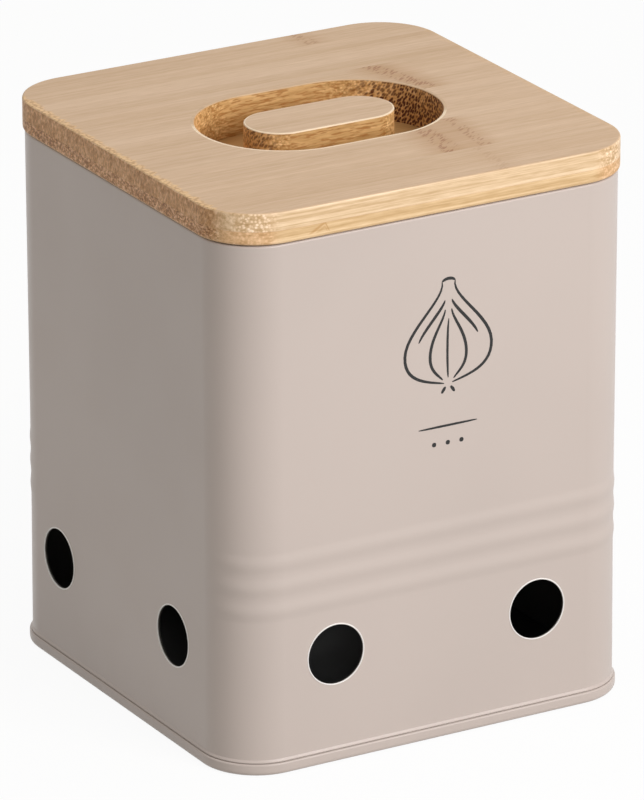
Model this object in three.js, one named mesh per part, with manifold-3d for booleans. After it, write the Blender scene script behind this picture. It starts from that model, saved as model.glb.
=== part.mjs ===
// A square garlic keeper: a seamed tin with air vents near its foot, and a bamboo lid whose grip is
// an island left standing in a routed recess, flush with the top.
// Lengths are in millimetres. The keeper stands on z = 0, its front faces -Y and +Z is up.
import * as THREE from "three";
import { mergeVertices } from "three/addons/utils/BufferGeometryUtils.js";
import Module from "manifold-3d";

const wasm = await Module();
wasm.setup();

// Tin: one wrapped sheet, drawn in a little at the beads
const tinWidth = 118.4;
const tinCornerRadius = 15;
const tinHeight = 141.2;
const tinSheet = 0.6;
const waistInset = 0.2;

// Beads: shallow ridges across the front and back. They run out where the corners turn to the sides,
// over this share of the sine of the turn.
const beadCount = 3;
const beadPitch = 6.4;
const beadWidth = 6;
const beadRise = 0.3;
const lowestBeadHeight = 44;
const beadRunoutShare = 0.8;

// Hem: the sheet folded in at the mouth
const hemWidth = 1.2;
const hemDepth = 7;

// Vents: two round holes through each of the four walls. Those in the sides sit nearer the back.
const ventRadius = 7.95;
const ventHeight = 29.2;
const frontVentSpacing = 59.2;
const sideVentSpacing = 60.6;
const sideVentSetback = 2.4;

// Base pan: a pressed panel whose channel takes the lower edge of the tin
const panSheet = 0.65;
const rimHeight = 3.2;
const rimLowEdgeRadius = 1.2;
const rimHighEdgeRadius = 0.45;
const seamClearance = 0.15;

// Flare: the tin turns out a little over the base pan's rim, in a low band that the wall draws in from
const footBand = 0.2;
const flareReach = 0.35;
const flareHeight = 0.7;

// Lid board: two plies glued face to face
const lidOverhang = 0.8;
const lidCornerRadius = 16.5;
const upperPly = 4.85;
const lowerPly = 3.65;
const upperEdgeRadius = 1;
const lowerEdgeRadius = 1.2;
const lidSeatGap = 0.3;

// Plug: the board under the lid that drops into the mouth
const plugDepth = 9;
const plugClearance = 1;
const plugEdgeRadius = 1;

// Grip: a recess with round ends, and the island inside it
const recessLength = 66.4;
const recessWidth = 46;
const recessIntoPlug = 2.1;
const knobLength = 41.4;
const knobWidth = 18.4;
const knobEdgeRadius = 0.5;

// Seal: a ring in a groove round the plug
const grooveDepth = 2;
const grooveHeight = 3.8;
const grooveBelowLid = 1.6;
const sealClearance = 0.15;
const sealMouthGap = 0.3;
const sealEdgeRadius = 0.6;

// How far a cutting shape runs past what it cuts
const overrun = 2;

// The least distance between two points of an outline
const pointSpacing = 0.001;

// Steps in a quarter of a plan corner, in a rounded edge, up the flare, across a bead and round a vent
const cornerSteps = 8;
const edgeSteps = 3;
const flareSteps = 4;
const beadSteps = 6;
const ventSteps = 36;

const tinHalf = tinWidth / 2;
const footHeight = panSheet + seamClearance;
const rimProud = panSheet + seamClearance;
const seamTop = rimHeight + seamClearance;
const flareStart = seamTop + footBand;
const beadsStart = lowestBeadHeight - beadWidth / 2;
const beadsEnd = beadsStart + (beadCount - 1) * beadPitch + beadWidth;
const lidBoard = upperPly + lowerPly;
const mouthHalf = tinHalf - hemWidth;
const plugHalf = mouthHalf - plugClearance;
const plugCornerRadius = tinCornerRadius - hemWidth - plugClearance;

function toSolid(geometry) {
  geometry.deleteAttribute("normal");
  geometry.deleteAttribute("uv");
  const merged = mergeVertices(geometry);
  const mesh = new wasm.Mesh({
    numProp: 3,
    vertProperties: merged.attributes.position.array,
    triVerts: new Uint32Array(merged.index.array),
  });
  return new wasm.Manifold(mesh);
}

function namedMesh(name, solid, material) {
  const { vertProperties, triVerts } = solid.getMesh();
  const geometry = new THREE.BufferGeometry();
  geometry.setAttribute("position", new THREE.BufferAttribute(vertProperties, 3));
  geometry.setIndex(new THREE.BufferAttribute(triVerts, 1));
  geometry.computeVertexNormals();
  const mesh = new THREE.Mesh(geometry, material);
  mesh.name = name;
  return mesh;
}

// The share of a swell that is left where a wall faces this way: all at the front, none at the sides
function swellShare(angle) {
  return Math.min(1, Math.abs(Math.sin(angle)) / beadRunoutShare);
}

// A rectangle with round corners, anticlockwise from above. Corners that meet share one point.
function roundedOutline(halfX, halfY, radius, swell) {
  const points = [];
  for (let corner = 0; corner < 4; corner++) {
    const centreX = (halfX - radius) * (corner === 0 || corner === 3 ? 1 : -1);
    const centreY = (halfY - radius) * (corner < 2 ? 1 : -1);
    for (let step = 0; step <= cornerSteps; step++) {
      const angle = (corner + step / cornerSteps) * (Math.PI / 2);
      const reach = radius + swell * swellShare(angle);
      const x = centreX + reach * Math.cos(angle);
      const y = centreY + reach * Math.sin(angle);
      points.push(new THREE.Vector2(x, y));
    }
  }
  return points.filter((point, i) => point.distanceTo(points.at(i - 1)) > pointSpacing);
}

// A closed solid through levels of one outline, lowest first. Each level is [height, inset], and may
// end in the swell of its front and back.
function stack(halfX, halfY, radius, levels) {
  const positions = [];
  const rings = levels.map(([height, inset, swell = 0]) => {
    const outline = roundedOutline(halfX - inset, halfY - inset, radius - inset, swell);
    const first = positions.length / 3;
    outline.forEach((point) => positions.push(point.x, point.y, height));
    return outline.map((_, i) => first + i);
  });
  const lowCentre = positions.length / 3;
  const highCentre = lowCentre + 1;
  positions.push(0, 0, levels[0][0], 0, 0, levels.at(-1)[0]);

  const triangles = [];
  const last = rings.length - 1;
  rings[0].forEach((_, i) => {
    const next = (i + 1) % rings[0].length;
    triangles.push(lowCentre, rings[0][next], rings[0][i]);
    triangles.push(highCentre, rings[last][i], rings[last][next]);
    for (let level = 0; level < last; level++) {
      const below = rings[level];
      const above = rings[level + 1];
      triangles.push(below[i], below[next], above[next]);
      triangles.push(below[i], above[next], above[i]);
    }
  });
  const geometry = new THREE.BufferGeometry();
  geometry.setAttribute("position", new THREE.Float32BufferAttribute(positions, 3));
  geometry.setIndex(triangles);
  return toSolid(geometry);
}

const squareStack = (half, radius, levels) => stack(half, half, radius, levels);

// Levels of a block whose lower and upper edges are rounded. A radius of zero keeps an edge sharp.
function edgedLevels(low, high, lowRadius, highRadius) {
  const angles = Array.from({ length: edgeSteps + 1 }, (_, i) => (i / edgeSteps) * (Math.PI / 2));
  const lowEdge = angles.map((angle) => [
    low + lowRadius * (1 - Math.cos(angle)),
    lowRadius * (1 - Math.sin(angle)),
  ]);
  const highEdge = angles.map((angle) => [
    high - highRadius * (1 - Math.sin(angle)),
    highRadius * (1 - Math.cos(angle)),
  ]);
  return [
    ...(lowRadius > 0 ? lowEdge : [[low, 0]]),
    ...(highRadius > 0 ? highEdge : [[high, 0]]),
  ];
}

// How far the tin is drawn in above its beads, which fades out at the mouth
function upperInset(height) {
  return (waistInset * (tinHeight - height)) / (tinHeight - beadsEnd);
}

// The swelling above the seam, widest at its lower end
function flareLevels() {
  const levels = [];
  for (let step = 0; step <= flareSteps; step++) {
    const share = step / flareSteps;
    const swell = (flareReach * (1 + Math.cos(Math.PI * share))) / 2;
    levels.push([flareStart + share * flareHeight, -swell]);
  }
  return levels;
}

function beadLevels() {
  const levels = [];
  for (let bead = 0; bead < beadCount; bead++) {
    for (let step = 0; step <= beadSteps; step++) {
      const share = step / beadSteps;
      const rise = (beadRise * (1 - Math.cos(2 * Math.PI * share))) / 2;
      levels.push([beadsStart + bead * beadPitch + share * beadWidth, waistInset, rise]);
    }
  }
  return levels;
}

function ventCutters() {
  const cutters = [];
  for (const side of [-1, 1]) {
    for (const turn of [0, Math.PI / 2]) {
      const cylinder = new THREE.CylinderGeometry(
        ventRadius,
        ventRadius,
        tinWidth + 2 * overrun,
        ventSteps,
      );
      const spacing = turn > 0 ? sideVentSpacing : frontVentSpacing;
      const setback = turn > 0 ? sideVentSetback : 0;
      cylinder.translate((side * spacing) / 2 + setback, 0, ventHeight);
      cylinder.rotateZ(turn);
      cutters.push(toSolid(cylinder));
    }
  }
  return cutters;
}

function tinBody() {
  const beads = beadLevels();
  const mouthEdge = edgedLevels(footHeight, tinHeight, 0, hemWidth / 2).slice(1);
  const outside = squareStack(tinHalf, tinCornerRadius, [
    [footHeight, 0],
    [seamTop, 0],
    [seamTop, -flareReach],
    ...flareLevels(),
    ...beads,
    ...mouthEdge,
  ]);
  const hemStart = tinHeight - hemDepth;
  const hemSlopeStart = hemStart - (hemWidth - tinSheet);
  const inside = squareStack(tinHalf, tinCornerRadius, [
    [footHeight - overrun, tinSheet],
    [seamTop, tinSheet],
    ...beads.map(([height, inset, swell]) => [height, inset + tinSheet, swell]),
    [hemSlopeStart, upperInset(hemSlopeStart) + tinSheet],
    [hemStart, upperInset(hemStart) + hemWidth],
    [tinHeight, hemWidth],
    [tinHeight + overrun, hemWidth],
  ]);
  return ventCutters().reduce((body, vent) => body.subtract(vent), outside.subtract(inside));
}

function basePan() {
  const block = squareStack(
    tinHalf + rimProud,
    tinCornerRadius + rimProud,
    edgedLevels(0, rimHeight, rimLowEdgeRadius, rimHighEdgeRadius),
  );
  const channelLevels = [
    [panSheet, 0],
    [rimHeight + overrun, 0],
  ];
  const innerWall = tinSheet + seamClearance;
  const channel = squareStack(
    tinHalf + seamClearance,
    tinCornerRadius + seamClearance,
    channelLevels,
  ).subtract(squareStack(tinHalf - innerWall, tinCornerRadius - innerWall, channelLevels));
  const hollow = squareStack(
    tinHalf - innerWall - panSheet,
    tinCornerRadius - innerWall - panSheet,
    [
      [-overrun, 0],
      [rimHeight - panSheet, 0],
    ],
  );
  return block.subtract(channel).subtract(hollow);
}

// The solids of the lid are placed from the underside of its lower ply.
function recessCutter() {
  return stack(recessLength / 2, recessWidth / 2, recessWidth / 2, [
    [-recessIntoPlug, 0],
    [lidBoard + overrun, 0],
  ]);
}

function lidPly(low, high, lowRadius, highRadius) {
  const levels = edgedLevels(low, high, lowRadius, highRadius);
  const board = squareStack(tinHalf + lidOverhang, lidCornerRadius, levels);
  return board.subtract(recessCutter());
}

function lidKnob() {
  const levels = edgedLevels(-recessIntoPlug, lidBoard, 0, knobEdgeRadius);
  return stack(knobLength / 2, knobWidth / 2, knobWidth / 2, levels);
}

function lidPlug() {
  const grooveLevels = [
    [-grooveBelowLid - grooveHeight, 0],
    [-grooveBelowLid, 0],
  ];
  const groove = squareStack(
    plugHalf + overrun,
    plugCornerRadius + overrun,
    grooveLevels,
  ).subtract(squareStack(plugHalf - grooveDepth, plugCornerRadius - grooveDepth, grooveLevels));
  const board = squareStack(
    plugHalf,
    plugCornerRadius,
    edgedLevels(-plugDepth, 0, plugEdgeRadius, 0),
  );
  return board.subtract(groove).subtract(recessCutter());
}

function lidSeal() {
  const low = -grooveBelowLid - grooveHeight + sealClearance;
  const high = -grooveBelowLid - sealClearance;
  const outside = squareStack(
    mouthHalf - sealMouthGap,
    tinCornerRadius - hemWidth - sealMouthGap,
    edgedLevels(low, high, sealEdgeRadius, sealEdgeRadius),
  );
  const seat = grooveDepth - sealClearance;
  const inside = squareStack(plugHalf - seat, plugCornerRadius - seat, [
    [low - overrun, 0],
    [high + overrun, 0],
  ]);
  return outside.subtract(inside);
}

const enamel = () =>
  new THREE.MeshStandardMaterial({ color: 0xcdc0ba, roughness: 0.55, metalness: 0 });
const bamboo = (color) => new THREE.MeshStandardMaterial({ color, roughness: 0.6, metalness: 0 });
const silicone = new THREE.MeshStandardMaterial({ color: 0xe9e6df, roughness: 0.7, metalness: 0 });

const tin = new THREE.Group();
tin.add(namedMesh("tin_body", tinBody(), enamel()));
tin.add(namedMesh("base_pan", basePan(), enamel()));

const lid = new THREE.Group();
lid.position.z = tinHeight + lidSeatGap;
lid.add(namedMesh("lid_top_ply", lidPly(lowerPly, lidBoard, 0, upperEdgeRadius), bamboo(0xe3b983)));
lid.add(namedMesh("lid_lower_ply", lidPly(0, lowerPly, lowerEdgeRadius, 0), bamboo(0xd9a868)));
lid.add(namedMesh("lid_knob", lidKnob(), bamboo(0xe3b983)));
lid.add(namedMesh("lid_plug", lidPlug(), bamboo(0xcf9d5f)));
lid.add(namedMesh("lid_seal", lidSeal(), silicone));

const keeper = new THREE.Group();
keeper.add(tin, lid);

export default keeper;
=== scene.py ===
"""A square garlic keeper in warm grey lacquer with a bamboo lid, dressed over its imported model."""

import math

import bmesh
import bpy
from mathutils import Matrix, Vector
from mathutils.geometry import interpolate_bezier


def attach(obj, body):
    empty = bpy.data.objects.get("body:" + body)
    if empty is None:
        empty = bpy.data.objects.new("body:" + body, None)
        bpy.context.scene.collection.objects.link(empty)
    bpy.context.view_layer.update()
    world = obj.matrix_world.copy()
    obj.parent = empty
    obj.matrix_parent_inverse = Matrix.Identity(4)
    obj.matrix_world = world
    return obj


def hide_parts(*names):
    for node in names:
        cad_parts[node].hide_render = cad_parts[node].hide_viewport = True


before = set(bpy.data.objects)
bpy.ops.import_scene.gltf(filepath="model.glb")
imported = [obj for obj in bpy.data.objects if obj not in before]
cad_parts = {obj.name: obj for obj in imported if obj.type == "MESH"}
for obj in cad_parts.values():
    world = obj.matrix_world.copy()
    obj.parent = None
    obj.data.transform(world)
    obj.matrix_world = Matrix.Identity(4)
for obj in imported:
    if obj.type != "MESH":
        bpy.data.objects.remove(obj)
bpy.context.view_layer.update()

MM = 0.001

# The tin, in millimetres
TIN_HALF = 59.2
TIN_CORNER = 15
TIN_HEIGHT = 141.2
TIN_EDGE = 0.1
SHEET = 0.6
WAIST_INSET = 0.2
BEAD_COUNT = 3
BEAD_PITCH = 6.4
BEAD_WIDTH = 6
BEAD_RISE = 0.3
BEADS_START = 41
BEADS_END = BEADS_START + (BEAD_COUNT - 1) * BEAD_PITCH + BEAD_WIDTH
HEM_WIDTH = 1.2
HEM_DEPTH = 7

# The sine of a wall's turn away from the sides at which the beads reach their full height
BEAD_RUNOUT = 0.8

# The base pan and the flare of the tin over its seam, in millimetres
PAN_SHEET = 0.65
PAN_TOP_EDGE = 0.1
PAN_FOOT_EDGE = 0.15
PANEL_EDGE = 0.3
PANEL_MARGIN = 12
CHANNEL_EDGE = 0.05
RIM_HEIGHT = 3.2
RIM_LOW_RADIUS = 1.2
RIM_HIGH_RADIUS = 0.45
SEAM_CLEARANCE = 0.15
RIM_PROUD = PAN_SHEET + SEAM_CLEARANCE
SEAM_TOP = RIM_HEIGHT + SEAM_CLEARANCE
FLARE_REACH = 0.35
FLARE_FOOT = 0.2
FLARE_START = SEAM_TOP + FLARE_FOOT
FLARE_HEIGHT = 0.7
TIN_FOOT = PAN_SHEET + SEAM_CLEARANCE

# The vents and the fine lips round them, in millimetres
VENT_RADIUS = 7.95
VENT_HEIGHT = 29.2
FRONT_VENT_OFFSET = 29.6
SIDE_VENT_OFFSET = 30.3
SIDE_VENT_SETBACK = 2.4
LIP_RADIUS = 0.2
LIP_OUTSET = 0.16

# The print on the front, in millimetres
INK_LIFT = 0.03
PRINT_X = 3
BULB_BASE = 95.5
PEN_WIDTH = 0.85
FINE_PEN_WIDTH = 0.68
RULE_Z = 84.5
RULE_LENGTH = 17
RULE_WIDTH = 0.62
DOT_SIZE = 1.2
DOT_PITCH = 4
DOT_DROP = 4.6

# The share of its width that a stroke of ink has at its ends
STROKE_END = 0.3

# The lid, in millimetres
LID_HALF = 60
LID_CORNER = 16.5
LID_CLEARANCE = 0.3
LID_BASE = TIN_HEIGHT + LID_CLEARANCE
LOWER_PLY = 3.65
UPPER_PLY = 4.85
LID_SPLIT = LID_BASE + LOWER_PLY
LID_TOP = LID_SPLIT + UPPER_PLY
LID_TOP_EDGE = 0.5
LID_LOW_EDGE = 0.9
GLUE_EDGE = 0.06
RECESS_LENGTH = 66.4
RECESS_WIDTH = 46
RECESS_INTO_PLUG = 2.1
RECESS_FLOOR = LID_BASE - RECESS_INTO_PLUG
RECESS_EDGE = 0.25
RECESS_GLUE_EDGE = 0.01
HIGHLIGHT_BAND = 0.6
KNOB_LENGTH = 41.4
KNOB_WIDTH = 18.4
KNOB_EDGE = 0.3
KNOB_BAND = 0.15

# The plug and its seal, in millimetres
PLUG_HALF = 57
PLUG_CORNER = 12.8
PLUG_DEPTH = 9
PLUG_EDGE = 1
PLUG_MARGIN = 8
GROOVE_DEPTH = 2
GROOVE_TOP = 1.6
GROOVE_HEIGHT = 3.8
GROOVE_EDGE = 0.2
SEAL_CLEARANCE = 0.15
SEAL_INSET = 0.3
SEAL_OUTSET = 0.7
SEAL_LIP_MARGIN = 0.1

# The power that rounds the seal's lips: one is a sine wave, and less is blunter
SEAL_LIP_POWER = 0.6

# Steps in a quarter of a plan corner, a rounded edge, the flare, a bead, a vent, its lip, the seal's
# lips, a curve of ink, the printed rule, a printed dot and the floor
CORNER_STEPS = 20
EDGE_STEPS = 5
FLARE_STEPS = 12
BEAD_STEPS = 16
VENT_STEPS = 96
LIP_STEPS = 10
SEAL_STEPS = 24
CURVE_STEPS = 14
RULE_STEPS = 24
DOT_STEPS = 10
FLOOR_STEPS = 128

# Edges sharper than these angles, in degrees, are rounded, or stay sharp in the shading
ROUNDED_ANGLE = 50
SHARP_ANGLE = 40

# How much wider than its round ends a stadium is set, so that no two of its points meet
STADIUM_SPREAD = 1.001

# Places of the finishes on a piece: its main one, its dark lining or routed walls, both darker in part as
# painted shade, and its pale edges, which are a painted highlight
MAIN = 0
INNER = 1
EDGE_HIGHLIGHT = 2


# Shapes


def swell_share(angle):
    """The share of a swell left at this angle from X: all at the front and back, none at the sides."""
    turn = min(1, abs(math.sin(angle)) / BEAD_RUNOUT)
    return turn * turn * (3 - 2 * turn)


def rounded_outline(half_x, half_y, radius, swell=0):
    """Points of a rectangle with round corners, anticlockwise from above."""
    points = []
    for corner, (side_x, side_y) in enumerate(((1, 1), (-1, 1), (-1, -1), (1, -1))):
        for step in range(CORNER_STEPS + 1):
            angle = (corner + step / CORNER_STEPS) * math.pi / 2
            reach = radius + swell * swell_share(angle)
            x = side_x * (half_x - radius) + reach * math.cos(angle)
            y = side_y * (half_y - radius) + reach * math.sin(angle)
            points.append((x, y))
    return points


def square_ring(half, radius, height, inset=0, swell=0):
    """A level outline of the tin's or the lid's kind."""
    outline = rounded_outline(half - inset, half - inset, radius - inset, swell)
    return [(x, y, height) for x, y in outline]


def stadium_ring(length, width, height, inset=0):
    """A level outline with two straight sides and round ends, whose corners never quite meet."""
    radius = width / 2 - inset
    outline = rounded_outline(length / 2 - inset, radius * STADIUM_SPREAD, radius)
    return [(x, y, height) for x, y in outline]


def quarter(radius, upper):
    """Pairs of height and inset up a rounded edge: a wall's upper edge, or else its lower one.

    Heights are taken from the top of an upper edge, so they are below zero, and from the foot of a
    lower one.
    """
    pairs = []
    for step in range(EDGE_STEPS + 1):
        angle = step / EDGE_STEPS * math.pi / 2
        if upper:
            pairs.append((radius * math.sin(angle) - radius, radius * (1 - math.cos(angle))))
        else:
            pairs.append((radius * (1 - math.cos(angle)), radius * (1 - math.sin(angle))))
    return pairs


def loft(name, rings, closed=False, finishes=None):
    """A mesh through rings of equally many points, with caps unless it closes on itself.

    Finishes gives the place of the finish on the band that follows each ring. The first is also the
    start cap's, and the last one is the end cap's.
    """
    shape = bmesh.new()
    loops = [[shape.verts.new(Vector(point) * MM) for point in ring] for ring in rings]
    following = loops[1:] + (loops[:1] if closed else [])
    finishes = finishes or [MAIN] * len(rings)
    for low, high, finish in zip(loops, following, finishes):
        for i, corner in enumerate(low):
            j = (i + 1) % len(low)
            face = shape.faces.new((corner, low[j], high[j], high[i]))
            face.material_index = finish
    if not closed:
        shape.faces.new(list(reversed(loops[0]))).material_index = finishes[0]
        shape.faces.new(loops[-1]).material_index = finishes[-1]
    bmesh.ops.recalc_face_normals(shape, faces=shape.faces[:])
    mesh = bpy.data.meshes.new(name)
    shape.to_mesh(mesh)
    shape.free()
    piece = bpy.data.objects.new(name, mesh)
    bpy.context.scene.collection.objects.link(piece)
    return piece


def apply_modifiers(piece):
    bpy.context.view_layer.update()
    graph = bpy.context.evaluated_depsgraph_get()
    made = bpy.data.meshes.new_from_object(piece.evaluated_get(graph))
    piece.modifiers.clear()
    old = piece.data
    piece.data = made
    bpy.data.meshes.remove(old)
    piece.data.name = piece.name


def round_edges(piece, width):
    bevel = piece.modifiers.new("edges", "BEVEL")
    bevel.width = width * MM
    bevel.segments = 2
    bevel.limit_method = "ANGLE"
    bevel.angle_limit = math.radians(ROUNDED_ANGLE)
    bevel.harden_normals = False
    apply_modifiers(piece)


def shade(piece):
    piece.data.shade_smooth()
    piece.data.set_sharp_from_angle(angle=math.radians(SHARP_ANGLE))
    weighted = piece.modifiers.new("normals", "WEIGHTED_NORMAL")
    weighted.keep_sharp = True
    weighted.weight = 60
    apply_modifiers(piece)


def dress(piece, body, slot, *materials, nodes=()):
    """Gives a piece its materials and joins it to the body that it moves with."""
    for material in materials:
        piece.data.materials.append(material)
    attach(piece, body)
    if nodes:
        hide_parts(*nodes)


# Node trees


class Graph:
    """The node tree of a material or world, with short calls that add a node and join its inputs."""

    def __init__(self, owner):
        owner.use_nodes = True
        self.owner = owner
        self.tree = owner.node_tree
        self.tree.nodes.clear()

    def add(self, kind, inputs=(), **settings):
        node = self.tree.nodes.new(kind)
        for key, value in settings.items():
            setattr(node, key, value)
        for key, value in dict(inputs).items():
            if isinstance(value, bpy.types.NodeSocket):
                self.tree.links.new(value, node.inputs[key])
            else:
                node.inputs[key].default_value = value
        return node

    def place(self):
        """Coordinates on the object, in metres."""
        return self.add("ShaderNodeTexCoord").outputs["Object"]

    def math(self, operation, *values):
        return self.add("ShaderNodeMath", enumerate(values), operation=operation).outputs[0]

    def times(self, first, second):
        return self.math("MULTIPLY", first, second)

    def times_plus(self, first, second, added):
        return self.math("MULTIPLY_ADD", first, second, added)

    def less(self, value, taken):
        return self.math("SUBTRACT", value, taken)

    def size(self, value):
        return self.math("ABSOLUTE", value)

    def scaled(self, vector, factors):
        pairs = {0: vector, 1: factors}
        return self.add("ShaderNodeVectorMath", pairs, operation="MULTIPLY").outputs[0]

    def joined(self, *parts):
        return self.add("ShaderNodeCombineXYZ", enumerate(parts)).outputs[0]

    def parts(self, vector):
        return self.add("ShaderNodeSeparateXYZ", {0: vector}).outputs

    def noise(self, vector, scale=1, detail=3, roughness=0.5):
        pairs = {"Vector": vector, "Scale": scale, "Detail": detail, "Roughness": roughness}
        return self.add("ShaderNodeTexNoise", pairs).outputs["Fac"]

    def cells(self, vector, scale=1, randomness=1):
        pairs = {"Vector": vector, "Scale": scale, "Randomness": randomness}
        return self.add("ShaderNodeTexVoronoi", pairs).outputs["Distance"]

    def random(self, value):
        return self.add("ShaderNodeTexWhiteNoise", {"W": value}, noise_dimensions="1D").outputs["Value"]

    def ramp(self, value, start, end, low=0, high=1, smooth=True):
        pairs = {"Value": value, "From Min": start, "From Max": end, "To Min": low, "To Max": high}
        kind = "SMOOTHSTEP" if smooth else "LINEAR"
        return self.add("ShaderNodeMapRange", pairs, interpolation_type=kind).outputs[0]

    def swing(self, value, start, end):
        """A value spread evenly from minus a half at the start to a half at the end."""
        return self.ramp(value, start, end, -0.5, 0.5, smooth=False)

    def blend(self, share, first, second):
        pairs = {0: share, 6: first, 7: second}
        return self.add("ShaderNodeMix", pairs, data_type="RGBA").outputs[2]

    def bump(self, height, strength, distance):
        pairs = {"Height": height, "Strength": strength, "Distance": distance * MM}
        return self.add("ShaderNodeBump", pairs).outputs[0]

    def surface(self, **inputs):
        named = {key.replace("_", " ").title(): value for key, value in inputs.items()}
        shader = self.add("ShaderNodeBsdfPrincipled", named)
        self.add("ShaderNodeOutputMaterial", {"Surface": shader.outputs[0]})
        return self.owner


def new_graph(name):
    return Graph(bpy.data.materials.new(name))


# Lacquer, silicone and ink

LACQUER_TONE = (0.588, 0.505, 0.467)
LIP_HIGHLIGHT_TONE = (0.93, 0.90, 0.88)
LINING_SHADE_TONE = (0.07, 0.061, 0.055)
BASE_LINING_SHADE_TONE = (0.022, 0.018, 0.016)
SEAL_TONES = ((0.80, 0.79, 0.75, 1), (0.74, 0.73, 0.69, 1))
INK_TONES = ((0.005, 0.005, 0.005, 1), (0.010, 0.0095, 0.0095, 1))

# How dark the lacquer's drifts are, as a share of its tone, and how far its roughness wanders
DRIFT_SHARE = 0.965
ROUGHNESS_DRIFT = 0.03


def lacquer(name, tone, roughness):
    """Satin sprayed lacquer with a faint orange peel and slow drifts of tone."""
    graph = new_graph(name)
    spot = graph.place()
    drift = graph.ramp(graph.noise(spot, scale=14, detail=2), start=0.35, end=0.65)
    darker = (DRIFT_SHARE * part for part in tone)
    colour = graph.blend(drift, (*tone, 1), (*darker, 1))
    glossiest = roughness - ROUGHNESS_DRIFT
    dullest = roughness + ROUGHNESS_DRIFT
    haze = graph.noise(spot, scale=60)
    shine = graph.ramp(haze, start=0.3, end=0.7, low=glossiest, high=dullest)
    peel = graph.noise(spot, scale=900, detail=2, roughness=0.6)
    normal = graph.bump(peel, strength=0.08, distance=0.04)
    return graph.surface(base_color=colour, roughness=shine, normal=normal)


def silicone():
    graph = new_graph("seal_silicone")
    spot = graph.place()
    colour = graph.blend(graph.noise(spot, scale=220), *SEAL_TONES)
    normal = graph.bump(graph.noise(spot, scale=2500), strength=0.05, distance=0.03)
    return graph.surface(base_color=colour, roughness=0.5, normal=normal)


def ink():
    graph = new_graph("print_ink")
    colour = graph.blend(graph.noise(graph.place(), scale=700), *INK_TONES)
    return graph.surface(base_color=colour, roughness=0.6)


OUTSIDE = lacquer("warm_grey_lacquer", LACQUER_TONE, roughness=0.37)
# The vent lips' near-white lacquer is a painted highlight on their lit rolled edges
LIP_PAINTED_HIGHLIGHT = lacquer("vent_lip_painted_highlight", LIP_HIGHLIGHT_TONE, roughness=0.35)
# The lining and the base's lining are near-black lacquer: painted shade for the dim inside of the tin
LINING_PAINTED_SHADE = lacquer("lining_painted_shade", LINING_SHADE_TONE, roughness=0.5)
BASE_LINING_PAINTED_SHADE = lacquer("base_lining_painted_shade", BASE_LINING_SHADE_TONE, roughness=0.5)
SILICONE = silicone()
INK = ink()


# Bamboo

# How fine its marks are along the fibres, across them and up through them, as scales per metre
STREAK_SCALE = (7, 760, 1050)
FLECK_SCALE = (150, 1500, 1500)
BROAD_SCALE = (7, 120, 120)
DRIFT_SCALE = (9, 26, 26)
DASH_SCALE = (280, 2000, 2000)
FIBRE_SCALE = (45, 1500, 850)
FIBRE_PATCH_SCALE = 95
LAYER_SCALE = 45
CORNER_DOT_SCALE = 1200
KNOT_SCALE = (400, 1300, 1300)
CREASE_SCALE = (90, 650, 650)
CREASE_SPECK_SCALE = (900, 1150, 1150)
EDGE_HIGHLIGHT_SCALE = (60, 900, 900)

# How deeply each kind of mark shades the wood, and how much deeper streaks and flecks are on a side
BROAD_DEPTH = 0.26
DRIFT_DEPTH = 0.14
STREAK_DEPTH = 0.08
STREAK_SIDE_DEPTH = 0.24
FLECK_DEPTH = 0.1
FLECK_SIDE_DEPTH = 0.16
STRIP_DEPTH = 0.05
# How much paler the dotted middles of the corners are made: partly a painted light round the turn of the
# corner, partly making up the hatch's darkening
CORNER_PAINTED_LIGHT = 0.07
LEAST_SHADE = 0.2

# The shares by which the tones of the marks show
KNOT_SHARE = 0.75
GLOW_SHARE = 0.42
CREASE_SHARE = 0.75
CREASE_SPECK_SHARE = 0.5
EDGE_KNOT_SHARE = 0.6
JOINT_SHARE = 0.22
PALE_SPECK_SHARE = 0.7

# A deeper shade is also a warmer one: powers of the shade that fall on the green and the blue
GREEN_POWER = 1.3
BLUE_POWER = 1.9

# How far the cells of the fibre ends lean, the share of them on faces not turned left, and between
# which places along X, in millimetres, they pass from their left thickness to their right one. The
# extra fibre on faces turned left and towards the right is partly painted shade.
FIBRE_LEAN = 0.4
FIBRE_LEAST_SHARE = 0.15
FIBRE_LEFT_X = -20
FIBRE_RIGHT_X = 25

# The crease along the ends of the top, in millimetres: how ragged it is, from how far inside the
# lid's edge and to how far past it the crease grows, and how far from the middle it is full on the
# left and faintest on the right, with its share there
CREASE_RAG = 4
CREASE_INSIDE = 0.6
CREASE_PAST = 0.8
CREASE_FADE_X = 20
CREASE_RIGHT_SHARE = 0.2

KNOT_TONE = (0.31, 0.115, 0.035, 1)
GLOW_TONE = (0.36, 0.15, 0.02, 1)
PALE_SPECK_TONE = (0.84, 0.60, 0.40, 1)
EDGE_KNOT_TONE = (0.50, 0.25, 0.07, 1)
DASH_TONE = (0.34, 0.12, 0.014, 1)
CREASE_TONE = (0.84, 0.55, 0.26, 1)
JOINT_TONE = (0.36, 0.21, 0.09, 1)
EDGE_HIGHLIGHT_TONE = (0.93, 0.74, 0.53, 1)
PLAIN_TONE = (0.62, 0.42, 0.25, 1)

# The strips, in millimetres: where one starts, and their width
STRIP_START = -18.9
STRIP_WIDTH = 23

# Knots of the lid's top: strip number, X at the strip's middle, lean, half width and strength
KNOTS = (
    (1, 33.2, -0.22, 3.2, 1),
    (-1, 16.2, 0.12, 3.6, 1),
    (-1, 25.5, 0.1, 2.2, 0.7),
    (-2, 20, 0.1, 2.5, 0.2),
    (3, 26.5, -0.1, 2.5, 0.6),
)

# The slant of the dashes in a knot, the share of its half width that is solid, and the reach of its
# soft shade in half widths
KNOT_SLANT = -0.66
KNOT_CORE = 0.4
GLOW_REACH = 3

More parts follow.
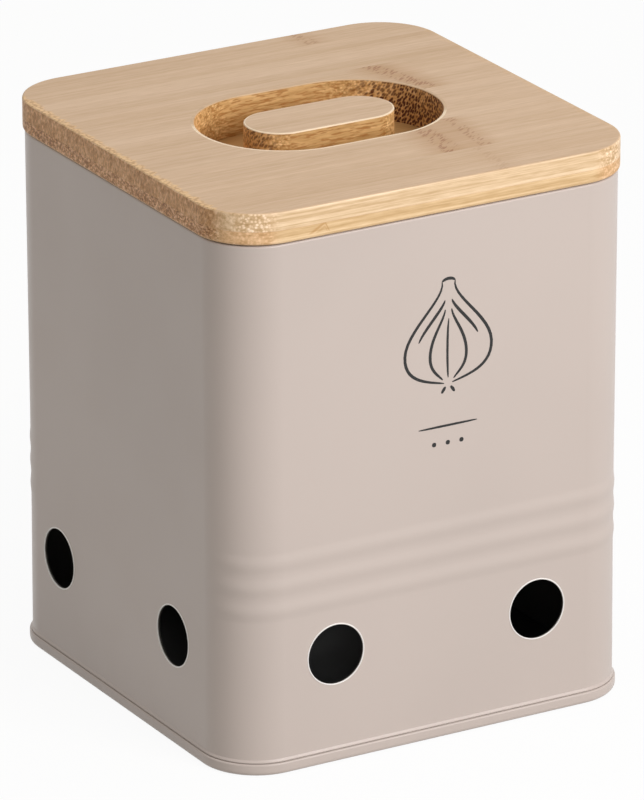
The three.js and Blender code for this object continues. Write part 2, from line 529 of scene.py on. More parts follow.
# The knot on the front edge, in millimetres, with the slopes to the left and right of its peak
EDGE_KNOT_X = -33
EDGE_KNOT_Z = 145.2
EDGE_KNOT_LEFT_SLOPE = -0.57
EDGE_KNOT_RIGHT_SLOPE = 2
EDGE_KNOT_GAP = 1.1
EDGE_KNOT_OUTER_WIDTH = 0.6
EDGE_KNOT_INNER_WIDTH = 0.5
EDGE_KNOT_CORE = 0.1
EDGE_KNOT_FOOT = -2.8
EDGE_KNOT_FULL = -1.8
EDGE_KNOT_INNER_SHARE = 0.6

# The parts of a face's normal between which it starts to count and fully counts as turned each way.
# A corner counts between two such turns along X, and its dotted middle between two more.
SIDE_TURN = (0.9, 0.45)
CORNER_TURN = (0.05, 0.35)
CORNER_END_TURN = (0.98, 0.85)
DOTTED_TURN = (0.1, 0.4)
DOTTED_END_TURN = (0.85, 0.6)
FRONT_TURN = (-0.6, -0.9)
LEFT_TURN = (0, -0.5)

# How high streaks and flecks stand in the relief, and how far the painted highlight on the edges leans
STREAK_RELIEF = 0.3
FLECK_RELIEF = 0.5
EDGE_HIGHLIGHT_LEAN = 0.35


def knot_marks(graph, x, y, strip):
    """Slanting dashes across some strips, each at its own place, and the soft shade round them."""
    slanted = graph.joined(x, graph.times_plus(x, KNOT_SLANT, y))
    dashes = graph.ramp(graph.cells(graph.scaled(slanted, KNOT_SCALE)), start=0.55, end=0.3)
    marks = 0
    glow = 0
    for number, knot_x, lean, half_width, strength in KNOTS:
        strip_middle = (number + 0.5) * STRIP_WIDTH + STRIP_START
        knot_line = graph.times_plus(graph.less(y, strip_middle * MM), lean, knot_x * MM)
        off = graph.size(graph.less(x, knot_line))
        here = graph.times(graph.math("COMPARE", strip, number, 0.5), strength)
        core = graph.ramp(off, half_width * MM, KNOT_CORE * half_width * MM, 0, KNOT_SHARE)
        soft = graph.ramp(off, GLOW_REACH * half_width * MM, 0, 0, GLOW_SHARE)
        marks = graph.times_plus(graph.times(core, dashes), here, marks)
        glow = graph.times_plus(soft, here, glow)
    return marks, glow


def edge_knot_mark(graph, x, z):
    """Two fine lines, one under the other, that rise to a peak and are flatter on its left."""
    beside = graph.less(x, EDGE_KNOT_X * MM)
    above = graph.less(z, EDGE_KNOT_Z * MM)
    left = graph.times(beside, EDGE_KNOT_LEFT_SLOPE)
    right = graph.times(beside, EDGE_KNOT_RIGHT_SLOPE)
    peak = graph.math("ADD", above, graph.math("MAXIMUM", left, right))
    outer = graph.ramp(graph.size(peak), EDGE_KNOT_OUTER_WIDTH * MM, EDGE_KNOT_CORE * MM)
    lower_peak = graph.math("ADD", peak, EDGE_KNOT_GAP * MM)
    inner = graph.ramp(graph.size(lower_peak), EDGE_KNOT_INNER_WIDTH * MM, EDGE_KNOT_CORE * MM)
    lines = graph.times_plus(inner, EDGE_KNOT_INNER_SHARE, outer)
    return graph.times(lines, graph.ramp(above, EDGE_KNOT_FOOT * MM, EDGE_KNOT_FULL * MM))


def face_shares(graph, turn):
    """How far a face is an end, a corner, the dotted middle of one, a side, a front and a left end.

    All follow the way that the face points, and turn is the range of its turn along X where ends begin.
    """
    normal = graph.add("ShaderNodeNewGeometry").outputs["Normal"]
    normal_x, normal_y, normal_z = graph.parts(normal)
    along = graph.size(normal_x)
    end = graph.ramp(along, *turn)
    side = graph.ramp(graph.size(normal_z), *SIDE_TURN)
    corner = graph.times(graph.ramp(along, *CORNER_TURN), graph.ramp(along, *CORNER_END_TURN))
    dotted = graph.times(graph.ramp(along, *DOTTED_TURN), graph.ramp(along, *DOTTED_END_TURN))
    front = graph.ramp(normal_y, *FRONT_TURN)
    left = graph.ramp(normal_x, *LEFT_TURN)
    return end, graph.times(corner, side), graph.times(dotted, side), side, front, left


def strip_marks(graph, y, flat):
    """The number of the strip at a place, and the faint joint between it and the next."""
    in_strips = graph.math("DIVIDE", graph.less(y, STRIP_START * MM), STRIP_WIDTH * MM)
    across = graph.size(graph.less(graph.math("FRACT", in_strips), 0.5))
    joint = graph.times(graph.ramp(across, start=0.492, end=0.5), flat)
    return graph.math("FLOOR", in_strips), joint


def grain(graph, spot, side, flecks):
    """Long straight streaks, shorter flecks and slow drifts, as a factor on the wood's tone."""
    streak = graph.noise(graph.scaled(spot, STREAK_SCALE), detail=4, roughness=0.65)
    fleck = graph.noise(graph.scaled(spot, FLECK_SCALE), detail=2, roughness=0.6)
    broad = graph.noise(graph.scaled(spot, BROAD_SCALE), detail=2)
    drift = graph.noise(graph.scaled(spot, DRIFT_SCALE), detail=1)
    shade = graph.times_plus(graph.less(broad, 0.5), -BROAD_DEPTH, 1)
    shade = graph.times_plus(graph.less(drift, 0.5), -DRIFT_DEPTH, shade)
    streak_depth = graph.times_plus(side, STREAK_SIDE_DEPTH, STREAK_DEPTH)
    streak_shade = graph.swing(streak, start=0.38, end=0.62)
    shade = graph.less(shade, graph.times(streak_shade, streak_depth))
    fleck_depth = graph.times_plus(side, FLECK_SIDE_DEPTH * flecks, FLECK_DEPTH)
    fleck_shade = graph.swing(fleck, start=0.32, end=0.68)
    shade = graph.less(shade, graph.times(fleck_shade, fleck_depth))
    return shade, streak, fleck


def fibre_ends(graph, spot, end, left, right):
    """Dark ends of fibre, thicker in patches and on faces turned left, where the extra is painted shade.
    """
    x, y, z = graph.parts(spot)
    leaning = graph.joined(x, graph.times_plus(z, FIBRE_LEAN, y), z)
    cell = graph.cells(graph.scaled(leaning, FIBRE_SCALE), randomness=0.8)
    patch = graph.noise(spot, scale=FIBRE_PATCH_SCALE, detail=2)
    patch = graph.ramp(patch, start=0.3, end=0.6, low=0.6)
    dark = graph.times(graph.ramp(cell, start=0.62, end=0.3, low=0.15), graph.times(end, patch))
    # Painted shade: more fibre on faces turned left, away from the light, and a ramp along X that
    # thickens it to the right
    dark = graph.times(dark, graph.times_plus(left, 1 - FIBRE_LEAST_SHARE, FIBRE_LEAST_SHARE))
    return graph.times(dark, graph.ramp(x, FIBRE_LEFT_X * MM, FIBRE_RIGHT_X * MM, *right))


def cut_grain(graph, spot, end, dotted, lay):
    """Light and dark where a face cuts across the fibres: layers on the ends, round dots at a corner."""
    layers = graph.noise(graph.scaled(spot, (LAYER_SCALE, *lay)), detail=3, roughness=0.7)
    layers = graph.swing(layers, start=0.4, end=0.6)
    cell = graph.cells(spot, scale=CORNER_DOT_SCALE, randomness=0.85)
    dots = graph.ramp(cell, start=0.6, end=0.2, low=-0.45, high=0.65)
    return graph.times(layers, end), graph.times(dots, dotted)


def end_crease(graph, spot, x, flat, colour):
    """Golden specks and dark ones just inside the ends of the top, fainter at the right end."""
    ragged = graph.noise(graph.scaled(spot, CREASE_SCALE), detail=3)
    outward = graph.times_plus(ragged, CREASE_RAG * MM, graph.size(x))
    share = graph.ramp(outward, (LID_HALF - CREASE_INSIDE) * MM, (LID_HALF + CREASE_PAST) * MM)
    share = graph.times(share, flat)
    fade = graph.ramp(x, CREASE_FADE_X * MM, -CREASE_FADE_X * MM, CREASE_RIGHT_SHARE, 1)
    share = graph.times(share, fade)
    colour = graph.blend(graph.times(share, CREASE_SHARE), colour, CREASE_TONE)
    specks = graph.cells(graph.scaled(spot, CREASE_SPECK_SCALE))
    dark = graph.times(graph.ramp(specks, start=0.42, end=0.7), share)
    return graph.blend(graph.times(dark, CREASE_SPECK_SHARE), colour, KNOT_TONE)


def bamboo(
    name,
    top,
    side,
    end,
    fibre,
    fibre_share,
    turn=(0.78, 1),
    corner_tint=0.15,
    dots=0.38,
    flecks=0.5,
    hatch=0.3,
    lay=(1000, 1000),
    dashes=0,
    right=(1, 1),
    painted_rim_light=0,
    knots=True,
    edge_knot=False,
):
    """Bamboo strips along X. Top, side and end are its tones on faces turned up, forward and along.

    Flecks and dashes are the strength of the short marks on a long side, and hatch that of the layers
    where a face cuts across the fibres, with lay for their fineness along Y and Z. Fibre is the tone of
    the dark fibres there, turn the range of a face's turn along X over which they appear, and right how
    thick they are at the left and at the right of the recess; they are also thicker on faces turned left,
    and both thickenings are partly painted shade. Corners take the tone of the ends by corner_tint, and
    pale dots by dots. By painted_rim_light the walls are painted paler at the rim of the recess and
    darker towards its floor, a painted light and shade. Knots and edge_knot say whether the top and the
    front edge show their knots.
    """
    graph = new_graph(name)
    spot = graph.place()
    x, y, z = graph.parts(spot)
    shares = face_shares(graph, turn)
    end_share, corner_share, dotted_share, side_share, front_share, left_share = shares
    flat_share = graph.less(1, side_share)
    long_share = graph.times(side_share, graph.less(1, end_share))
    strip, joint = strip_marks(graph, y, flat_share)

    shade, streak, fleck = grain(graph, spot, side_share, flecks)
    strip_tone = graph.random(graph.math("ADD", strip, 0.5))
    shade = graph.times_plus(graph.less(strip_tone, 0.5), STRIP_DEPTH, shade)
    layers, pale_dots = cut_grain(graph, spot, end_share, dotted_share, lay)
    shade = graph.times_plus(layers, hatch, shade)
    shade = graph.times_plus(pale_dots, dots, shade)
    # Painted light: the dotted middles of the corners are made paler
    shade = graph.times_plus(dotted_share, CORNER_PAINTED_LIGHT, shade)
    # Painted light and shade: the walls of the recess are paler at its rim and darker towards its floor
    lit = graph.ramp(z, RECESS_FLOOR * MM, LID_TOP * MM, -painted_rim_light, painted_rim_light, smooth=False)
    shade = graph.times_plus(lit, side_share, shade)
    shade = graph.math("MAXIMUM", shade, LEAST_SHADE)
    green = graph.math("POWER", shade, GREEN_POWER)
    blue = graph.math("POWER", shade, BLUE_POWER)

    colour = graph.blend(side_share, (*top, 1), (*side, 1))
    end_tint = graph.math("MAXIMUM", end_share, graph.times(corner_share, corner_tint))
    colour = graph.blend(end_tint, colour, (*end, 1))
    colour = graph.scaled(colour, graph.joined(shade, green, blue))
    fine = graph.noise(graph.scaled(spot, DASH_SCALE), detail=2)
    dashed = graph.ramp(fine, start=0.48, end=0.62)
    dashed = graph.times(dashed, graph.times(long_share, dashes))
    colour = graph.blend(dashed, colour, DASH_TONE)
    specks = graph.times(graph.math("MAXIMUM", layers, 0), hatch * PALE_SPECK_SHARE)
    colour = graph.blend(specks, colour, PALE_SPECK_TONE)
    dark = fibre_ends(graph, spot, end_share, left_share, right)
    dark_share = graph.math("MINIMUM", graph.times(dark, fibre_share), 1)
    colour = graph.blend(dark_share, colour, (*fibre, 1))
    colour = end_crease(graph, spot, x, flat_share, colour)
    if knots:
        marks, glow = knot_marks(graph, x, y, strip)
        colour = graph.blend(graph.times(glow, flat_share), colour, GLOW_TONE)
        colour = graph.blend(graph.times(marks, flat_share), colour, KNOT_TONE)
    if edge_knot:
        mark = graph.times(edge_knot_mark(graph, x, z), front_share)
        colour = graph.blend(graph.times(mark, EDGE_KNOT_SHARE), colour, EDGE_KNOT_TONE)
    colour = graph.blend(graph.times(joint, JOINT_SHARE), colour, JOINT_TONE)

    relief = graph.times_plus(fleck, FLECK_RELIEF, graph.times(streak, STREAK_RELIEF))
    relief = graph.less(relief, graph.math("ADD", dark, joint))
    normal = graph.bump(relief, strength=0.25, distance=0.05)
    shine = graph.ramp(streak, start=0.3, end=0.7, low=0.48, high=0.58)
    return graph.surface(base_color=colour, roughness=shine, normal=normal)


def painted_edge_highlight(name, start, end):
    """A thin edge, plain behind start and painted pale in front of end: a painted highlight.

    Both are places along Y at the lid's middle, in millimetres, on lines that run forward to the right.
    """
    graph = new_graph(name)
    spot = graph.place()
    x, y, _ = graph.parts(spot)
    forward = graph.times_plus(x, EDGE_HIGHLIGHT_LEAN, y)
    colour = graph.blend(graph.ramp(forward, start * MM, end * MM), PLAIN_TONE, EDGE_HIGHLIGHT_TONE)
    streak = graph.noise(graph.scaled(spot, EDGE_HIGHLIGHT_SCALE), detail=3, roughness=0.6)
    shade = graph.ramp(streak, start=0.35, end=0.65, low=1.06, high=0.9, smooth=False)
    colour = graph.scaled(colour, shade)
    normal = graph.bump(streak, strength=0.2, distance=0.03)
    return graph.surface(base_color=colour, roughness=0.5, normal=normal)


UPPER_BAMBOO = bamboo(
    "bamboo_upper",
    top=(0.635, 0.435, 0.275),
    side=(0.785, 0.565, 0.348),
    end=(0.68, 0.365, 0.16),
    fibre=(0.28, 0.12, 0.04),
    fibre_share=0.45,
    hatch=0.45,
    lay=(1100, 520),
)
LOWER_BAMBOO = bamboo(
    "bamboo_lower",
    top=(0.635, 0.435, 0.275),
    side=(0.745, 0.512, 0.278),
    end=(0.65, 0.335, 0.145),
    fibre=(0.18, 0.06, 0.015),
    fibre_share=0.45,
    corner_tint=0.5,
    dots=0.2,
    hatch=1,
    lay=(900, 1500),
    edge_knot=True,
)
# The routed walls, floor and knob sides are darker than the plies' faces, partly as painted shade in the
# recess
ROUTED_BAMBOO_AND_SHADE = bamboo(
    "bamboo_routed_painted_shade",
    top=(0.50, 0.275, 0.10),
    side=(0.58, 0.34, 0.128),
    end=(0.72, 0.40, 0.145),
    fibre=(0.085, 0.016, 0.002),
    fibre_share=1,
    turn=(0.3, 0.8),
    flecks=1.6,
    dashes=0.65,
    right=(0.8, 1.25),
    painted_rim_light=0.1,
    knots=False,
)
# The pale edges of the recess and the knob are painted highlights, strongest toward the front
RECESS_EDGE_HIGHLIGHT = painted_edge_highlight("bamboo_recess_painted_highlight", start=0, end=-6)
KNOB_EDGE_HIGHLIGHT = painted_edge_highlight("bamboo_knob_painted_highlight", start=12, end=5)


# Tin


def wall_inset(height):
    """How far the flat of the wall is drawn in, between its foot and its mouth."""
    flare_end = FLARE_START + FLARE_HEIGHT
    if height < BEADS_START:
        share = (height - flare_end) / (BEADS_START - flare_end)
    else:
        share = (TIN_HEIGHT - height) / (TIN_HEIGHT - BEADS_END)
    return WAIST_INSET * min(1, max(0, share))


def flare_levels():
    """Pairs of height and inset, from the widest place just over the seam up to the plain wall."""
    levels = []
    for step in range(FLARE_STEPS + 1):
        share = step / FLARE_STEPS
        swell = FLARE_REACH * (1 + math.cos(math.pi * share)) / 2
        levels.append((FLARE_START + share * FLARE_HEIGHT, -swell))
    return levels


def bead_levels():
    """Height, inset and swell up the beads."""
    levels = []
    for bead in range(BEAD_COUNT):
        for step in range(BEAD_STEPS + 1):
            share = step / BEAD_STEPS
            rise = BEAD_RISE * (1 - math.cos(2 * math.pi * share)) / 2
            height = BEADS_START + bead * BEAD_PITCH + share * BEAD_WIDTH
            levels.append((height, WAIST_INSET, rise))
    return levels


def make_tin():
    """The wall as one closed loop of rings: up its outside, over the hem and down its inside."""
    mouth_out = [(TIN_HEIGHT + rise, inset) for rise, inset in quarter(HEM_WIDTH / 2, upper=True)]
    mouth_in = [(height, HEM_WIDTH - inset) for height, inset in reversed(mouth_out[:-1])]
    hem_start = TIN_HEIGHT - HEM_DEPTH
    slope_start = hem_start - (HEM_WIDTH - SHEET)
    beads = bead_levels()
    outside = [
        (TIN_FOOT, 0),
        (SEAM_TOP, 0),
        (SEAM_TOP, -FLARE_REACH),
        *flare_levels(),
        *beads,
        *mouth_out,
    ]
    inside = [
        *mouth_in,
        (hem_start, wall_inset(hem_start) + HEM_WIDTH),
        (slope_start, wall_inset(slope_start) + SHEET),
        *((height, inset + SHEET, swell) for height, inset, swell in reversed(beads)),
        (SEAM_TOP, SHEET),
        (TIN_FOOT, SHEET),
    ]
    finishes = [MAIN] * len(outside) + [INNER] * len(inside)
    rings = [square_ring(TIN_HALF, TIN_CORNER, *level) for level in outside + inside]
    return loft("tin_shell", rings, closed=True, finishes=finishes)


def vent_place(side, turn):
    """How far a vent lies along its wall, to the right as seen from outside.

    Turn counts the walls: front, right, back and left.
    """
    if turn % 2 == 0:
        return side * FRONT_VENT_OFFSET
    return side * SIDE_VENT_OFFSET + (SIDE_VENT_SETBACK if turn == 1 else -SIDE_VENT_SETBACK)


def cut_vents(tin):
    """Cuts the eight vents with four cylinders, each through two walls."""
    cutters = []
    for side in (-1, 1):
        for turn in (0, 1):
            bpy.ops.mesh.primitive_cylinder_add(
                vertices=VENT_STEPS, radius=VENT_RADIUS * MM, depth=3 * TIN_HALF * MM
            )
            cutter = bpy.context.object
            lying = Matrix.Rotation(math.pi / 2, 4, "X")
            moved = Matrix.Translation(Vector((vent_place(side, turn), 0, VENT_HEIGHT)) * MM)
            cutter.data.transform(Matrix.Rotation(turn * math.pi / 2, 4, "Z") @ moved @ lying)
            for material in tin.data.materials:
                cutter.data.materials.append(material)
            # The vents' cut edges take the dark lining as painted shade round each hole
            for face in cutter.data.polygons:
                face.material_index = INNER
            cutters.append(cutter)
    for cutter in cutters:
        cut = tin.modifiers.new("vent", "BOOLEAN")
        cut.operation = "DIFFERENCE"
        cut.solver = "EXACT"
        cut.object = cutter
        apply_modifiers(tin)
        bpy.data.objects.remove(cutter)


def vent_lip(name, side, turn):
    """A fine rolled edge round one vent, half sunk in the wall."""
    middle = VENT_RADIUS + LIP_OUTSET
    rings = []
    for step in range(VENT_STEPS):
        angle = step / VENT_STEPS * 2 * math.pi
        ring = []
        for bend in range(LIP_STEPS):
            swing = bend / LIP_STEPS * 2 * math.pi
            reach = middle + LIP_RADIUS * math.cos(swing)
            height = VENT_HEIGHT + reach * math.sin(angle)
            depth = TIN_HALF - wall_inset(height) + LIP_RADIUS * math.sin(swing)
            ring.append((vent_place(side, turn) + reach * math.cos(angle), -depth, height))
        rings.append(ring)
    lip = loft(name, rings, closed=True)
    lip.data.transform(Matrix.Rotation(turn * math.pi / 2, 4, "Z"))
    lip.data.shade_smooth()
    return lip


tin = make_tin()
# The inside of the wall takes the dark lining, which is painted shade
dress(tin, "tin", "enamelled_sheet", OUTSIDE, LINING_PAINTED_SHADE, nodes=["tin_body"])
cut_vents(tin)
round_edges(tin, TIN_EDGE)
shade(tin)

for turn, face_name in enumerate(("front", "right", "back", "left")):
    for side, side_name in ((-1, "a"), (1, "b")):
        lip = vent_lip(f"vent_lip_{face_name}_{side_name}", side, turn)
        # Near-white lacquer on the lip: a painted highlight
        dress(lip, "tin", "enamelled_sheet", LIP_PAINTED_HIGHLIGHT)


# Print on the front


def stroke(name, path, width):
    """A line of ink on the front wall along a path of X and Z, drawn thinner at its ends."""
    rings = []
    for i, (x, z) in enumerate(path):
        before = path[max(0, i - 1)]
        after = path[min(len(path) - 1, i + 1)]
        run = after[0] - before[0]
        rise = after[1] - before[1]
        length = math.hypot(run, rise)
        share = i / (len(path) - 1)
        fullness = math.sqrt(max(0, 4 * share * (1 - share)))
        half = width / 2 * (STROKE_END + (1 - STROKE_END) * fullness)
        across_x = -rise / length * half
        across_z = run / length * half
        ring = []
        for side, lift in ((1, INK_LIFT), (-1, INK_LIFT), (-1, -INK_LIFT), (1, -INK_LIFT)):
            height = z + side * across_z
            ring.append((x + side * across_x, -(TIN_HALF - wall_inset(height)) - lift, height))
        rings.append(ring)
    line = loft(name, rings)
    dress(line, "tin", "enamelled_sheet", INK)


def curve(*knots):
    """Points along Bezier spans. Each knot is its place and the handle that leaves it."""
    points = []
    for (start, out), (end, into) in zip(knots, knots[1:]):
        start, out, end, into = (Vector((*pair, 0)) for pair in (start, out, end, into))
        reached = interpolate_bezier(start, start + out, end - into, end, CURVE_STEPS)
        points += [(point.x, point.y) for point in reached[bool(points) :]]
    return points


def level_line(middle, height, length, steps):
    return [(middle - length / 2 + step * length / steps, height) for step in range(steps + 1)]


def draw_bulb(centre_x, base_z):
    """A plain garlic bulb in pen lines: skin, neck, cloves and roots."""
    lines = {
        "skin": (((1.9, 27.5), (-1.2, -4.5)), ((12.6, 9.5), (0.3, -6.8)), ((1.2, 0.4), (-5, -1.2))),
        "clove": (((0.9, 20), (0.5, -3)), ((5.2, 9.2), (0.6, -4.6)), ((1.6, 1.4), (-1.6, -1.8))),
        "leaf": (((1.0, 22.5), (0.7, -2.4)), ((8.6, 12.4), (1.6, -3.4))),
        "root": (((0.7, -0.6), (0.5, -0.5)), ((1.9, -2.2), (0.4, -0.6))),
    }
    for side, side_name in ((-1, "left"), (1, "right")):
        for part, knots in lines.items():
            points = [(centre_x + side * x, base_z + z) for x, z in curve(*knots)]
            stroke(f"print_{part}_{side_name}", points, PEN_WIDTH)
    neck = curve(((-1.9, 27.5), (0.9, 0.9)), ((1.9, 27.5), (0.9, -0.9)))
    middle = curve(((0.1, 17.5), (-0.5, -4)), ((0, 1.8), (0.3, -3)))
    stroke("print_neck", [(centre_x + x, base_z + z) for x, z in neck], PEN_WIDTH)
    stroke("print_clove_middle", [(centre_x + x, base_z + z) for x, z in middle], FINE_PEN_WIDTH)


def draw_rule(centre_x, height):
    """A short rule with three dots under it."""
    stroke("print_rule", level_line(centre_x, height, RULE_LENGTH, RULE_STEPS), RULE_WIDTH)
    for number in (-1, 0, 1):
        dot = level_line(centre_x + number * DOT_PITCH, height - DOT_DROP, DOT_SIZE, DOT_STEPS)
        stroke(f"print_dot_{number + 2}", dot, DOT_SIZE)


draw_bulb(PRINT_X, BULB_BASE)
draw_rule(PRINT_X, RULE_Z)


# Base pan


def make_pan():
    """The pan as rings: over its panel, down into the seam, round the rim and in under the panel."""
    inner = TIN_HALF - SHEET - SEAM_CLEARANCE
    under = inner - PAN_SHEET
    channel = TIN_HALF + SEAM_CLEARANCE
    outer = TIN_HALF + RIM_PROUD
    corner = TIN_CORNER + RIM_PROUD
    panel_low = RIM_HEIGHT - PAN_SHEET

    def ring(half, height):
        return square_ring(half, half - (TIN_HALF - TIN_CORNER), height)

    panel_rings = [
        ring(inner - PANEL_MARGIN, RIM_HEIGHT),
        ring(inner - PAN_TOP_EDGE, RIM_HEIGHT),
        ring(inner, RIM_HEIGHT - PAN_TOP_EDGE),
        ring(inner, PAN_SHEET),
    ]
    channel_rings = [
        ring(channel, PAN_SHEET),
        ring(channel, RIM_HEIGHT - CHANNEL_EDGE),
        ring(channel + CHANNEL_EDGE, RIM_HEIGHT),
    ]
    rim = [(RIM_HEIGHT + rise, inset) for rise, inset in reversed(quarter(RIM_HIGH_RADIUS, upper=True))]
    rim += reversed(quarter(RIM_LOW_RADIUS, upper=False))
    rim_rings = [square_ring(outer, corner, height, inset) for height, inset in rim]
    under_rings = [
        ring(under + PAN_FOOT_EDGE, 0),
        ring(under, PAN_FOOT_EDGE),
        ring(under, panel_low - PANEL_EDGE),
        ring(under - PANEL_EDGE, panel_low),
        ring(inner - PANEL_MARGIN, panel_low),
    ]
    rings = panel_rings + channel_rings + rim_rings + under_rings
    finishes = [INNER] * len(panel_rings) + [MAIN] * (len(rings) - len(panel_rings))
    pan = loft("base_rim", rings, finishes=finishes)
    shade(pan)
    return pan


# The pan's panel inside the tin takes the near-black base lining, which is painted shade
dress(make_pan(), "tin", "enamelled_base", OUTSIDE, BASE_LINING_PAINTED_SHADE, nodes=["base_pan"])


# Lid


def make_ply(name, low, high, low_radius, high_radius, recess_radius):
    """A ply of the lid board: round outside edges and a recess through its middle.

    A radius of zero stands for an edge on the glue line, which is only just broken.
    """
    low_edge = quarter(low_radius, upper=False) if low_radius else [(0, GLUE_EDGE), (GLUE_EDGE, 0)]
    high_edge = quarter(high_radius, upper=True) if high_radius else [(-GLUE_EDGE, 0), (0, GLUE_EDGE)]
    brim = [(-RECESS_GLUE_EDGE, 0), (0, RECESS_GLUE_EDGE)]
    if recess_radius:
        brim = [*quarter(recess_radius, upper=True), (0, recess_radius + HIGHLIGHT_BAND)]
    outside = [(low + rise, inset) for rise, inset in low_edge]
    outside += [(high + rise, inset) for rise, inset in high_edge]
    rings = [square_ring(LID_HALF, LID_CORNER, height, inset) for height, inset in outside]
    for rise, inset in reversed(brim):
        rings.append(stadium_ring(RECESS_LENGTH, RECESS_WIDTH, high + rise, recess_radius / 2 - inset))
    rings.append(stadium_ring(RECESS_LENGTH, RECESS_WIDTH, low, recess_radius / 2))
    finishes = [MAIN] * len(outside) + [EDGE_HIGHLIGHT] * (len(brim) - 1) + [INNER, MAIN]
    ply = loft(name, rings, closed=True, finishes=finishes)
    shade(ply)
    return ply


def make_island():
    """The knob, from the recess's floor up to the lid's top."""
    edge = quarter(KNOB_EDGE, upper=True)
    levels = [(RECESS_FLOOR, 0)]
    levels += [(LID_TOP + rise, inset) for rise, inset in edge]
    levels += [(LID_TOP, KNOB_EDGE + KNOB_BAND), (LID_TOP, KNOB_WIDTH / 4)]
    rings = [stadium_ring(KNOB_LENGTH, KNOB_WIDTH, height, inset) for height, inset in levels]
    finishes = [INNER] + [EDGE_HIGHLIGHT] * len(edge) + [MAIN, MAIN]
    island = loft("grip_island", rings, finishes=finishes)
    shade(island)
    return island


def make_plug():
    """The plug board: its underside, its grooved wall, and the recess's floor as its end cap."""
    groove_high = LID_BASE - GROOVE_TOP
    groove_low = groove_high - GROOVE_HEIGHT
    low = LID_BASE - PLUG_DEPTH
    levels = [(low, PLUG_MARGIN)]
    levels += [(low + rise, inset) for rise, inset in quarter(PLUG_EDGE, upper=False)]
    levels += [
        (groove_low - GROOVE_EDGE, 0),
        (groove_low, GROOVE_EDGE),
        (groove_low, GROOVE_DEPTH),
        (groove_high, GROOVE_DEPTH),
        (groove_high, GROOVE_EDGE),
        (groove_high + GROOVE_EDGE, 0),
        (LID_BASE, 0),
    ]
    pocket = ((LID_BASE, 0), (RECESS_FLOOR, 0), (RECESS_FLOOR, RECESS_WIDTH / 4))
    rings = [square_ring(PLUG_HALF, PLUG_CORNER, height, inset) for height, inset in levels]
    rings += [stadium_ring(RECESS_LENGTH, RECESS_WIDTH, height, inset) for height, inset in pocket]
    finishes = [MAIN] * len(levels) + [INNER] * len(pocket)
    plug = loft("plug_board", rings, finishes=finishes)
    shade(plug)
    return plug


def make_seal():
    """A ring with two rounded lips that stand out from the groove."""
    high = LID_BASE - GROOVE_TOP - SEAL_CLEARANCE
    low = high - GROOVE_HEIGHT + 2 * SEAL_CLEARANCE
    lips_low = low + SEAL_LIP_MARGIN
    lips_height = high - low - 2 * SEAL_LIP_MARGIN
    seat = GROOVE_DEPTH - SEAL_CLEARANCE
    profile = [(low, seat), (low, SEAL_INSET)]
    for step in range(SEAL_STEPS + 1):
        share = step / SEAL_STEPS
        lip = (SEAL_INSET + SEAL_OUTSET) * abs(math.sin(2 * math.pi * share)) ** SEAL_LIP_POWER
        profile.append((lips_low + share * lips_height, SEAL_INSET - lip))
    profile += [(high, SEAL_INSET), (high, seat)]
    rings = [square_ring(PLUG_HALF, PLUG_CORNER, height, inset) for height, inset in profile]
    seal = loft("seal_ring", rings, closed=True)
    shade(seal)
    return seal


upper = make_ply("lid_upper_board", LID_SPLIT, LID_TOP, 0, LID_TOP_EDGE, RECESS_EDGE)
lower = make_ply("lid_lower_board", LID_BASE, LID_SPLIT, LID_LOW_EDGE, 0, 0)
lower_woods = (LOWER_BAMBOO, ROUTED_BAMBOO_AND_SHADE, RECESS_EDGE_HIGHLIGHT)
dress(upper, "lid", "bamboo_top", UPPER_BAMBOO, ROUTED_BAMBOO_AND_SHADE, RECESS_EDGE_HIGHLIGHT, nodes=["lid_top_ply"])
dress(lower, "lid", "bamboo_lower", *lower_woods, nodes=["lid_lower_ply"])
dress(make_island(), "lid", "bamboo_top", UPPER_BAMBOO, ROUTED_BAMBOO_AND_SHADE, KNOB_EDGE_HIGHLIGHT, nodes=["lid_knob"])
dress(make_plug(), "lid", "bamboo_lower", *lower_woods, nodes=["lid_plug"])
dress(make_seal(), "lid", "silicone", SILICONE, nodes=["lid_seal"])


# Stage

FLOOR_RADIUS_M = 4
FLOOR_DROP_M = 0.0001

# The floor's tone in light that it throws on, its tone as seen, and the share of plain white in that
FLOOR_THROWN_TONE = (0.52, 0.51, 0.49, 1)
FLOOR_SEEN_TONE = (0.95, 0.95, 0.95, 1)
FLOOR_WHITE_SHARE = 0.93

FILL_TONE = (1.0, 0.975, 0.91, 1)
FILL_STRENGTH = 0.42
WHITE = (1, 1, 1, 1)


def direct_or_gloss(graph):
    """One for rays that come straight from the camera, or by gloss or glass, and zero for the rest."""
    rays = graph.add("ShaderNodeLightPath").outputs
    seen = graph.math("MAXIMUM", rays["Is Camera Ray"], rays["Is Glossy Ray"])
    return graph.math("MAXIMUM", seen, rays["Is Transmission Ray"])


def whitened(graph, lit, share=1):
    """Mixes a lit shader with plain white, for direct and gloss rays only."""
    white = graph.add("ShaderNodeEmission", {"Color": WHITE, "Strength": 1}).outputs[0]
    seen = graph.times(direct_or_gloss(graph), share)
    return graph.add("ShaderNodeMixShader", {0: seen, 1: lit, 2: white}).outputs[0]


def make_floor():
    bpy.ops.mesh.primitive_circle_add(
        vertices=FLOOR_STEPS, radius=FLOOR_RADIUS_M, fill_type="NGON", location=(0, 0, -FLOOR_DROP_M)
    )
    floor = bpy.context.object
    floor.name = "floor"
    graph = new_graph("pale_floor")
    tone = graph.blend(direct_or_gloss(graph), FLOOR_THROWN_TONE, FLOOR_SEEN_TONE)
    lit = graph.add("ShaderNodeBsdfDiffuse", {"Color": tone}).outputs[0]
    graph.add("ShaderNodeOutputMaterial", {"Surface": whitened(graph, lit, FLOOR_WHITE_SHARE)})
    floor.data.materials.append(graph.owner)


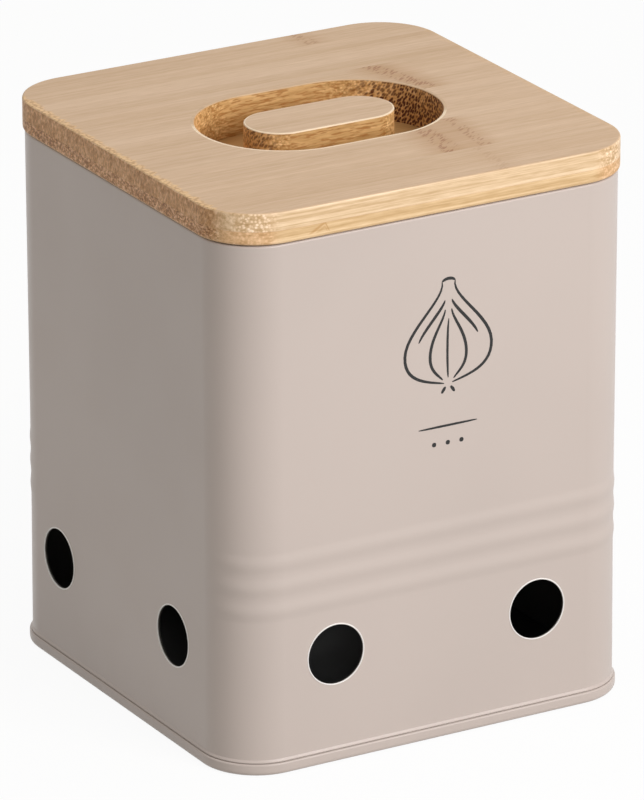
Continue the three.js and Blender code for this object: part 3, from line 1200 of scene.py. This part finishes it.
def make_world():
    world = bpy.data.worlds.new("studio")
    bpy.context.scene.world = world
    graph = Graph(world)
    fill = graph.add("ShaderNodeBackground", {"Color": FILL_TONE, "Strength": FILL_STRENGTH}).outputs[0]
    graph.add("ShaderNodeOutputWorld", {"Surface": whitened(graph, fill)})


def area_light(name, place_m, aim_m, width_m, height_m, power, colour=(1, 1, 1)):
    data = bpy.data.lights.new(name, "AREA")
    data.shape = "RECTANGLE"
    data.size = width_m
    data.size_y = height_m
    data.energy = power
    data.color = colour
    light = bpy.data.objects.new(name, data)
    light.location = place_m
    light.rotation_euler = (Vector(aim_m) - Vector(place_m)).to_track_quat("-Z", "Y").to_euler()
    bpy.context.scene.collection.objects.link(light)


make_floor()
make_world()
area_light(
    "key",
    place_m=(0.32, -1.14, 0.72),
    aim_m=(0, 0, 0.08),
    width_m=0.7,
    height_m=0.6,
    power=12.8,
    colour=(1, 0.99, 0.985),
)
area_light("top", place_m=(0.1, 0.2, 1.3), aim_m=(0, 0, 0.1), width_m=0.9, height_m=0.9, power=2.2)


# Camera

# Fitted to the edges of the lid, the base and the vents: turns in radians, and lengths on the picture
# in pixels of its frame
FRAME_WIDTH = 644
FRAME_HEIGHT = 800
CAMERA_AZIMUTH = -0.52377
CAMERA_ELEVATION = 0.3616
CAMERA_ROLL = -0.00221
CAMERA_DISTANCE_M = 2.0024
CAMERA_FAR_M = 50
CAMERA_FOCUS = 7786
CAMERA_CENTRE_X = 319.65
CAMERA_CENTRE_Y = 390.75
SENSOR_MM = 36


def make_camera():
    aim = Vector((0, 0, LID_TOP / 2 * MM))
    flat = math.cos(CAMERA_ELEVATION)
    back_x = math.sin(CAMERA_AZIMUTH) * flat
    back_y = -math.cos(CAMERA_AZIMUTH) * flat
    back = Vector((back_x, back_y, math.sin(CAMERA_ELEVATION)))
    right = Vector((math.cos(CAMERA_AZIMUTH), math.sin(CAMERA_AZIMUTH), 0))
    up = back.cross(right)
    turned_right = right * math.cos(CAMERA_ROLL) + up * math.sin(CAMERA_ROLL)
    turned_up = up * math.cos(CAMERA_ROLL) - right * math.sin(CAMERA_ROLL)
    data = bpy.data.cameras.new("camera")
    data.sensor_width = SENSOR_MM
    data.lens = CAMERA_FOCUS * SENSOR_MM / FRAME_HEIGHT
    data.shift_x = (FRAME_WIDTH / 2 - CAMERA_CENTRE_X) / FRAME_HEIGHT
    data.shift_y = (CAMERA_CENTRE_Y - FRAME_HEIGHT / 2) / FRAME_HEIGHT
    data.clip_end = CAMERA_FAR_M
    camera = bpy.data.objects.new("camera", data)
    turned = Matrix((turned_right, turned_up, back)).transposed().to_4x4()
    camera.matrix_world = Matrix.Translation(aim + back * CAMERA_DISTANCE_M) @ turned
    bpy.context.scene.collection.objects.link(camera)
    bpy.context.scene.camera = camera


make_camera()
bpy.context.scene.view_settings.view_transform = "Standard"
